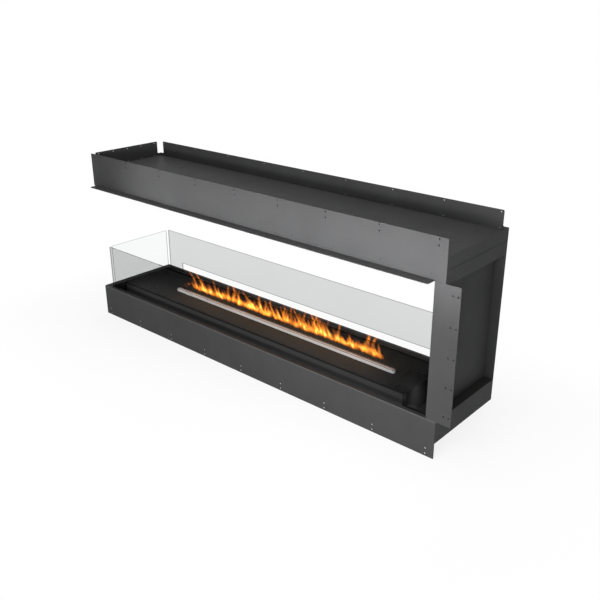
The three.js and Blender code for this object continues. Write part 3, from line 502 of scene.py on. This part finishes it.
# No large tongue counts for more than the tallest, in millimetres, and all are drawn taller and wider
TALLEST_TONGUE = 84
HEIGHT_FACTOR = 1.15
WIDTH_FACTOR = 1.5

# The rise of the large tongues, and of those across the slot
FOOT_RISE = 0.004

# How high the small tongues reach along the fire: share of its length, and height in millimetres
REACH = (
    (0.0, 10),
    (0.07, 34),
    (0.12, 52),
    (0.22, 44),
    (0.3, 64),
    (0.36, 44),
    (0.5, 62),
    (0.62, 76),
    (0.75, 74),
    (0.82, 52),
    (0.92, 40),
    (1.0, 44),
)

# The small tongues: limits of their height as a share of the reach, lean, half width, rise and strength
TONGUES_PER_METRE = 74
SMALL_HEIGHT = (0.45, 1.1)
SMALL_LEAN = (0.1, 1.0)
SMALL_HALF = (0.0016, 0.0042)
SMALL_RISE = (0.002, 0.012)
SMALL_STRENGTH = (0.18, 0.5)

# Small tongues lose this share of their lean towards the right end, and are brighter along one stretch
LEAN_LOST = 0.6
BRIGHT_START = 0.42
BRIGHT_END = 0.9
BRIGHT_FACTOR = 1.3

# The lumps: limits of their rise, half width, half height and strength, and where they begin
LUMPS_PER_METRE = 55
LUMP_RISE = (0.009, 0.022)
LUMP_WIDE = (0.006, 0.015)
LUMP_HIGH = (0.005, 0.011)
LUMP_STRENGTH = (0.1, 0.46)
LUMPS_START = 0.07

# The sheets across the slot: their number, width and first grain, and the step between their tongues,
# the limits of a tongue's height, and its lean to the middle, half width and strength
CROSS_SHEETS = 5
CROSS_WIDTH = 0.03
CROSS_SEED = 10
CROSS_STEP = 0.005
CROSS_HEIGHT = (0.03, 0.06)
CROSS_LEAN = 0.1
CROSS_HALF = 0.0026
CROSS_STRENGTH = 0.3

# How a tongue bends: a ripple in metres at its tip and a sway as a share of its height, how far both turn
# over its height in radians and from foot to foot in radians per metre, and the curve of its lean
RIPPLE = 0.004
RIPPLE_TURN = 9.0
RIPPLE_SHIFT = 400.0
SWAY = 0.09
SWAY_TURN = 5.0
SWAY_SHIFT = 900.0
LEAN_POWER = 1.2

# How a tongue's half width goes: the tip's share, what is added towards the foot, and the foot's neck
TIP_WIDTH = 0.3
TAPER_WIDTH = 1.25
TAPER_POWER = 0.8
NECK_WIDTH = 0.45
NECK_GROWTH = 3.0

# How its glow goes: growth from the foot and fading to the tip; past these widths no glow is left
GLOW_GROWTH = 5.0
GLOW_FADING = 1.25
TONGUE_EDGE = 2.6
LUMP_EDGE = 2.4

# How far beside its foot and tip a tongue can reach, in metres
TONGUE_MARGIN = 0.02

# The grain of a sheet: the heat from which it counts, its scales, and its share of the heat
GRAIN_START = 0.01
GRAIN_ACROSS = 130
GRAIN_SLANT = 60
GRAIN_UP = 42
GRAIN_APART = 7.3
GRAIN_SHARE = 0.75

# The heat fades over this height, in metres, down to the flames' bottom
BOTTOM_FADE = 0.005

bar_low, bar_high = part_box("burner_bar")
frame_low, frame_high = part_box("slot_frame")
flame_start = bar_low.x + FLAME_LEFT
flame_end = bar_high.x - FLAME_RIGHT
flame_length = flame_end - flame_start
flame_middle = (bar_low.y + bar_high.y) / 2
flame_bottom = frame_high.z + FLAME_GAP
row_heights = [ROW * j for j in range(int(SHEET_HEIGHT / ROW))]


def reach_at(place):
    """The small tongues' reach in millimetres at a share of the fire's length."""
    for (start, low), (end, high) in zip(REACH, REACH[1:]):
        if place <= end:
            return low + (high - low) * (place - start) / (end - start)
    return REACH[-1][1]


def large_tongues(sheet):
    """The large tongues that fall to one of the long sheets."""
    tongues = []
    for foot, height, lean, half, strength in LARGE_TONGUES[sheet::len(LONG_SHEETS)]:
        height = HEIGHT_FACTOR * min(height, TALLEST_TONGUE) / MM_PER_METRE
        half = WIDTH_FACTOR * half / MM_PER_METRE
        tongues.append(Tongue(foot / MM_PER_METRE, FOOT_RISE, height, lean, half, strength))
    return tongues


def small_tongues():
    tongues = []
    count = round(flame_length * TONGUES_PER_METRE)
    for i in range(count):
        place = (i + random.random()) / count
        height = reach_at(place) / MM_PER_METRE * random.uniform(*SMALL_HEIGHT)
        lean = random.uniform(*SMALL_LEAN) * (1.0 - LEAN_LOST * place)
        half = random.uniform(*SMALL_HALF)
        rise = random.uniform(*SMALL_RISE)
        strength = random.uniform(*SMALL_STRENGTH)
        if BRIGHT_START < place < BRIGHT_END:
            strength *= BRIGHT_FACTOR
        tongues.append(Tongue(place * flame_length, rise, height, lean, half, strength))
    return tongues


def draw_lumps():
    lumps = []
    count = round(flame_length * LUMPS_PER_METRE)
    for i in range(count):
        middle = flame_length * (i + random.random()) / count
        rise = random.uniform(*LUMP_RISE)
        wide = random.uniform(*LUMP_WIDE)
        high = random.uniform(*LUMP_HIGH)
        strength = random.uniform(*LUMP_STRENGTH)
        if middle > LUMPS_START:
            lumps.append(Lump(middle, rise, wide, high, strength))
    return lumps


def tongue_heat(tongue, x, z):
    """A tongue's glow at a point of its sheet, x along it and z over the flames' bottom."""
    foot, rise, height, lean, half, strength = tongue
    up = (z - rise) / height
    if up <= 0 or up >= 1:
        return 0.0
    ripple = RIPPLE * up * math.sin(RIPPLE_TURN * up + RIPPLE_SHIFT * foot)
    sway = SWAY * height * math.sin(SWAY_TURN * up + SWAY_SHIFT * foot)
    middle = foot - lean * height * up ** LEAN_POWER + (ripple + sway)
    taper = TIP_WIDTH + TAPER_WIDTH * (1 - up) ** TAPER_POWER
    width = half * taper * min(1.0, NECK_WIDTH + NECK_GROWTH * up)
    away = (x - middle) / width
    if abs(away) >= TONGUE_EDGE:
        return 0.0
    return strength * math.exp(-away * away) * min(1.0, GLOW_GROWTH * up) * (1 - up) ** GLOW_FADING


def lump_heat(lump, x, z):
    """A lump's glow at a point of its sheet."""
    across = (x - lump.middle) / lump.wide
    up = (z - lump.rise) / lump.high
    if abs(across) >= LUMP_EDGE or abs(up) >= LUMP_EDGE:
        return 0.0
    return lump.strength * math.exp(-across * across - up * up)


def heat_at(tongues, lumps, x, z, seed):
    """The glow of all tongues and lumps at a point of a sheet, with the sheet's own grain."""
    heat = 0.0
    for tongue in tongues:
        heat += tongue_heat(tongue, x, z)
    for lump in lumps:
        heat += lump_heat(lump, x, z)
    if heat > GRAIN_START:
        grain = noise.noise(Vector((x * GRAIN_ACROSS + z * GRAIN_SLANT, z * GRAIN_UP, seed * GRAIN_APART)))
        heat *= 1.0 + GRAIN_SHARE * grain
        heat *= min(1.0, z / BOTTOM_FADE)
    return heat


def reaches(tongue, x):
    """Whether a column lies beside the tongue's foot, or where it leans to."""
    left = tongue.foot - tongue.height * max(tongue.lean, 0) - TONGUE_MARGIN
    right = tongue.foot + tongue.height * max(-tongue.lean, 0) + TONGUE_MARGIN
    return left < x < right


def sheet_heat(tongues, lumps, columns, seed):
    """The heat at every point of a sheet, by column, from the tongues and lumps near that column."""
    grid = []
    for x in columns:
        near = [tongue for tongue in tongues if reaches(tongue, x)]
        close = [lump for lump in lumps if abs(x - lump.middle) < LUMP_EDGE * lump.wide]
        grid.append([heat_at(near, close, x, z, seed) for z in row_heights])
    return grid


def warm_cells(grid):
    """The cells of a sheet that show, by column and row, without the smallest patches."""
    warm = set()
    for i in range(len(grid) - 1):
        for j in range(len(grid[0]) - 1):
            if max(grid[i][j], grid[i + 1][j], grid[i][j + 1], grid[i + 1][j + 1]) > LEAST_HEAT:
                warm.add((i, j))
    kept = set()
    while warm:
        patch = [warm.pop()]
        for i, j in patch:
            for cell in ((i + 1, j), (i - 1, j), (i, j + 1), (i, j - 1)):
                if cell in warm:
                    warm.remove(cell)
                    patch.append(cell)
        if len(patch) >= SMALLEST_PATCH:
            kept.update(patch)
    return kept


class FlameMesh:
    """The points, faces and heats of all sheets together."""

    def __init__(self):
        self.points = []
        self.faces = []
        self.heats = []

    def add_sheet(self, grid, place):
        """Adds the warm cells of a sheet, where place gives the point of a column and a row."""
        index = {}

        def corner(i, j):
            if (i, j) not in index:
                index[i, j] = len(self.points)
                self.points.append(place(i, j))
                self.heats.append(grid[i][j])
            return index[i, j]

        for i, j in sorted(warm_cells(grid)):
            self.faces.append((corner(i, j), corner(i + 1, j), corner(i + 1, j + 1), corner(i, j + 1)))

    def finished(self, name):
        mesh = bpy.data.meshes.new(name)
        mesh.from_pydata(self.points, [], self.faces)
        mesh.attributes.new("warmth", "FLOAT", "POINT").data.foreach_set("value", self.heats)
        mesh.polygons.foreach_set("use_smooth", [True] * len(self.faces))
        mesh.update()
        return mesh


def add_long_sheet(flames, sheet):
    """A sheet along the slot, from its left to its right offset behind the slot's middle."""
    tongues = large_tongues(sheet) + small_tongues()
    lumps = draw_lumps()
    columns = [COLUMN * i - SHEET_START for i in range(int((flame_length + SHEET_EXTRA) / COLUMN))]
    left, right = LONG_SHEETS[sheet]

    def place(i, j):
        y = flame_middle + left + (right - left) * (columns[i] / flame_length)
        return (flame_start + columns[i], y, flame_bottom + row_heights[j])

    flames.add_sheet(sheet_heat(tongues, lumps, columns, sheet), place)


def add_cross_sheet(flames, sheet):
    """A sheet across the slot, with three tongues, of which the outer two lean to the middle."""
    x = flame_start + flame_length * (sheet + 0.5) / CROSS_SHEETS
    tongues = []
    for side in (-1, 0, 1):
        foot = CROSS_WIDTH / 2 + CROSS_STEP * side
        height = random.uniform(*CROSS_HEIGHT)
        tongues.append(Tongue(foot, FOOT_RISE, height, CROSS_LEAN * side, CROSS_HALF, CROSS_STRENGTH))
    columns = [COLUMN * i for i in range(int(CROSS_WIDTH / COLUMN) + 1)]

    def place(i, j):
        return (x, flame_middle - CROSS_WIDTH / 2 + columns[i], flame_bottom + row_heights[j])

    flames.add_sheet(sheet_heat(tongues, [], columns, CROSS_SEED + sheet), place)


def build_flames():
    random.seed(FLAME_SEED)
    flames = FlameMesh()
    for sheet in range(len(LONG_SHEETS)):
        add_long_sheet(flames, sheet)
    for sheet in range(CROSS_SHEETS):
        add_cross_sheet(flames, sheet)
    return flames.finished("flames")


# The flames' colours by heat, their glow, and their opacity, which grows up to the densest heat
FLAME_COLORS = (
    (0.0, (1.0, 0.22, 0.02)),
    (0.3, (1.0, 0.26, 0.025)),
    (0.6, (1.0, 0.36, 0.04)),
    (1.0, (1.0, 0.56, 0.10)),
)
FLAME_GLOW = 2.9
MOST_ALPHA = 0.3
DENSEST_HEAT = 1.2


def flame_finish():
    """Glowing gas that adds its light to what is behind it: red-orange where faint, yellow where strong."""
    finish = Finish("flame")
    attribute = finish.node("ShaderNodeAttribute")
    attribute.attribute_name = "warmth"
    flicker = finish.noise(detail=3.0, stretch=(300, 300, 120), distortion=0.8)
    heat = finish.maths("MULTIPLY", attribute.outputs["Fac"], finish.spread(flicker, low=0.7, high=1.3))
    shown = finish.maths("MAXIMUM", finish.maths("SUBTRACT", heat, LEAST_HEAT), 0.0)
    alpha = finish.maths("MULTIPLY", finish.maths("MINIMUM", shown, DENSEST_HEAT), MOST_ALPHA)
    finish.set(Emission_Color=finish.ramp(heat, *FLAME_COLORS), Alpha=alpha)
    finish.set(Emission_Strength=FLAME_GLOW / MOST_ALPHA)
    finish.set(Base_Color=opaque(grey(0)), Roughness=1.0, Specular_IOR_Level=0.0)
    return finish.material


piece("flames", build_flames(), "casing", flame_finish())

# Screws: a head's outline from foot to middle and the cross recess in it, in shares of radius and height
SCREW_SIDES = 20
SCREW_OUTLINE = ((1.0, 0.0), (1.0, 0.35), (0.85, 0.75), (0.5, 0.97), (0.0, 1.0))
RECESS_WIDTH = 0.5
RECESS_DEPTH = 0.5
SAME_POINT = 1e-7


def add_screw(work, center, radius, height, facing):
    """Adds a pan head with a cross recess, which faces up or front."""
    rings = []
    for wide, up in SCREW_OUTLINE:
        ring = []
        for k in range(SCREW_SIDES):
            angle = 2 * math.pi * k / SCREW_SIDES
            recessed = wide <= RECESS_WIDTH and k % (SCREW_SIDES // 4) == 0
            offset = Vector((wide * radius * math.cos(angle), wide * radius * math.sin(angle), 0))
            offset.z = height * (up - (RECESS_DEPTH if recessed else 0.0))
            if facing == "front":
                offset = Vector((offset.x, -offset.z, offset.y))
            ring.append(work.verts.new(Vector(center) + offset))
        rings.append(ring)
    for low, high in zip(rings, rings[1:]):
        for k in range(SCREW_SIDES):
            following = (k + 1) % SCREW_SIDES
            face = work.faces.new((low[k], low[following], high[following], high[k]))
            face.smooth = True
    bmesh.ops.remove_doubles(work, verts=rings[-1], dist=SAME_POINT)


def screws(name, centers, radius, height, slot, facing="up"):
    """A group of screws as one piece on the casing."""
    mesh = bpy.data.meshes.new(name)
    work = bmesh.new()
    for center in centers:
        add_screw(work, center, radius, height, facing)
    work.to_mesh(mesh)
    work.free()
    piece(name, mesh, "casing", finishes[slot])


def inside(low, high, inset):
    """The two places that lie an inset in from both ends."""
    return (low + inset, high - inset)


FRAME_INSET = 0.005
frame_middle = (frame_low.y + frame_high.y) / 2
frame_screws = [(x, frame_middle, frame_high.z) for x in inside(frame_low.x, frame_high.x, FRAME_INSET)]
screws("slot_frame_screws", frame_screws, radius=0.0026, height=0.0012, slot="stainless")

FAN_INSET = 0.005
fan_low, fan_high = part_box("fan_frame")
fan_screws = [
    (x, fan_low.y, z)
    for x in inside(fan_low.x, fan_high.x, FAN_INSET)
    for z in inside(fan_low.z, fan_high.z, FAN_INSET)
]
screws("fan_screws", fan_screws, radius=0.003, height=0.0015, slot="zinc_steel", facing="front")

PANEL_INSET = 0.0045
panel_low, panel_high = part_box("control_panel")
panel_screws = [
    (x, y, panel_high.z)
    for x in inside(panel_low.x, panel_high.x, PANEL_INSET)
    for y in inside(panel_low.y, panel_high.y, PANEL_INSET)
]
screws("panel_screws", panel_screws, radius=0.0024, height=0.0013, slot="stainless")

# Return spring round the button's stem: its foot and top are measured down from the control panel's top
SPRING_RADIUS = 0.0048
SPRING_WIRE = 0.0004
SPRING_TURNS = 3
SPRING_STEPS = 16
SPRING_FOOT = 0.006
SPRING_TOP = 0.002


def build_spring(center, low, high):
    curve = bpy.data.curves.new("button_spring", "CURVE")
    curve.dimensions = "3D"
    curve.bevel_depth = SPRING_WIRE
    curve.bevel_resolution = 2
    count = SPRING_TURNS * SPRING_STEPS
    spline = curve.splines.new("POLY")
    spline.points.add(count)
    for i, point in enumerate(spline.points):
        share = i / count
        angle = 2 * math.pi * SPRING_TURNS * share
        x = center[0] + SPRING_RADIUS * math.cos(angle)
        y = center[1] + SPRING_RADIUS * math.sin(angle)
        point.co = (x, y, low + (high - low) * share, 1)
    return curve


button_low, button_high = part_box("power_button")
button_center = ((button_low.x + button_high.x) / 2, (button_low.y + button_high.y) / 2)
spring = build_spring(button_center, panel_high.z - SPRING_FOOT, panel_high.z - SPRING_TOP)
piece("button_spring", spring, "casing", finishes["stainless"])


# Floor, light and the white surround
def white_to_the_eye(tree):
    """1 for a ray from the camera, directly, through glass or off metal, and 0 for light."""
    path = tree.nodes.new("ShaderNodeLightPath").outputs
    passed = maths(tree, "MAXIMUM", path["Is Transmission Ray"], path["Is Glossy Ray"])
    undiffused = maths(tree, "LESS_THAN", path["Diffuse Depth"], 0.5)
    return maths(tree, "MAXIMUM", path["Is Camera Ray"], maths(tree, "MULTIPLY", passed, undiffused))


# The floor, in metres: its half size, and how far it lies under the object's lowest point
FLOOR_HALF = 12.0
FLOOR_DROP = 0.001

# The share of the floor's look beside the object that is plain white, while the rest takes the shadow,
# and how far from the object in metres the floor is all white
WHITE_SHARE = 0.86
SHADOW_REACH = 0.45


def floor_finish():
    finish = Finish("floor")
    finish.set(Base_Color=finish.shade(finish.noise(scale=0.8), grey(0.93), grey(0.95)), Roughness=0.9)
    squares = []
    for axis, letter in enumerate("XY"):
        half = max(abs(cad_box[0][axis]), abs(cad_box[1][axis]))
        aside = finish.maths("ABSOLUTE", finish.along(finish.place, letter))
        beyond = finish.maths("MAXIMUM", finish.maths("SUBTRACT", aside, half), 0.0)
        squares.append(finish.maths("POWER", beyond, 2.0))
    away = finish.maths("SQRT", finish.maths("ADD", *squares))
    share = finish.spread(away, low=WHITE_SHARE, high=1.0, start=0.0, end=SHADOW_REACH)
    white = finish.maths("MULTIPLY", white_to_the_eye(finish.tree), share)
    glow = finish.node("ShaderNodeEmission", Color=opaque(grey(1)))
    finish.blend_surface(white, glow.outputs["Emission"])
    return finish.material


def make_floor():
    level = cad_box[0][2] - FLOOR_DROP
    sides = ((-1, -1), (1, -1), (1, 1), (-1, 1))
    mesh = bpy.data.meshes.new("floor")
    mesh.from_pydata([(FLOOR_HALF * x, FLOOR_HALF * y, level) for x, y in sides], [], [(0, 1, 2, 3)])
    floor = bpy.data.objects.new("floor", mesh)
    scene.collection.objects.link(floor)
    dress(floor, floor_finish())


SKY_COLOR = (0.95, 0.97, 1.0)
SKY_STRENGTH = 0.2


def make_world():
    """White to the eye and in the glass, and a soft grey sky as light."""
    world = bpy.data.worlds.new("studio")
    world.use_nodes = True
    tree = world.node_tree
    tree.nodes.clear()
    sky = new_node(tree, "ShaderNodeBackground", Color=opaque(SKY_COLOR), Strength=SKY_STRENGTH)
    white = new_node(tree, "ShaderNodeBackground", Color=opaque(grey(1)), Strength=1.0)
    eye = white_to_the_eye(tree)
    shown = mix_shaders(tree, eye, sky.outputs["Background"], white.outputs["Background"])
    new_node(tree, "ShaderNodeOutputWorld", Surface=shown)
    scene.world = world


def make_light(name, place, target, size, watts, color, spread):
    """A lamp that lights the object and isn't seen itself, neither directly nor in gloss or glass."""
    data = bpy.data.lights.new(name, "AREA")
    data.shape = "RECTANGLE"
    data.size, data.size_y = size
    data.energy = watts
    data.color = color
    data.spread = math.radians(spread)
    light = bpy.data.objects.new(name, data)
    light.location = place
    light.rotation_euler = (Vector(target) - Vector(place)).to_track_quat("-Z", "Y").to_euler()
    light.visible_camera = False
    light.visible_transmission = False
    light.visible_glossy = False
    scene.collection.objects.link(light)


# The firelight's height over the flames' bottom and width across the slot, in metres
FIRELIGHT_RISE = 0.045
FIRELIGHT_WIDTH = 0.03
fire_center = ((flame_start + flame_end) / 2, flame_middle, flame_bottom + FIRELIGHT_RISE)
fire_foot = (*fire_center[:2], 0)

# Lamps: name, place, target and size in metres, watts, colour, and spread in degrees
WHITE = (1, 1, 1)
ORANGE = (1.0, 0.5, 0.15)
ALL_ROUND = 180
LAMPS = (
    ("key_light", (0.6, -2.6, 0.81), (0.2, -0.15, 0.4), (1.8, 0.15), 29, WHITE, ALL_ROUND),
    ("side_light", (2.2, -2.6, 0.9), (0.2, -0.15, 0.4), (1.4, 1.0), 10, WHITE, ALL_ROUND),
    ("top_light", (0.2, -0.3, 3.0), (0, 0, 0.5), (2.5, 2.0), 33, WHITE, ALL_ROUND),
    ("hood_light", (0.1, -0.45, 0.66), (0.1, -0.16, 0.5), (1.4, 0.1), 0.5, WHITE, ALL_ROUND),
    ("end_light", (0.75, -0.7, 0.6), (0.5, -0.16, 0.5), (0.6, 0.2), 4.5, WHITE, ALL_ROUND),
    ("fascia_light", (0.16, -0.9, 0.46), (0.16, -0.16, 0.51), (1.38, 0.06), 1.0, WHITE, 24),
    ("slot_light", (-0.06, -0.125, 0.17), (-0.06, -0.04, 0.09), (1.17, 0.02), 0.52, WHITE, 120),
    ("bay_light", (0.66, -0.05, 0.074), (0.59, -0.05, 0.03), (0.01, 0.16), 0.03, WHITE, 120),
    ("rear_light", (-1.2, 2.6, 1.2), (0, 0, 0.4), (1.8, 1.2), 36, WHITE, ALL_ROUND),
    ("fire_light", fire_center, fire_foot, (flame_length, FIRELIGHT_WIDTH), 0.42, ORANGE, 150),
)

make_floor()
make_world()
for lamp in LAMPS:
    make_light(*lamp)
scene.view_settings.view_transform = "Standard"
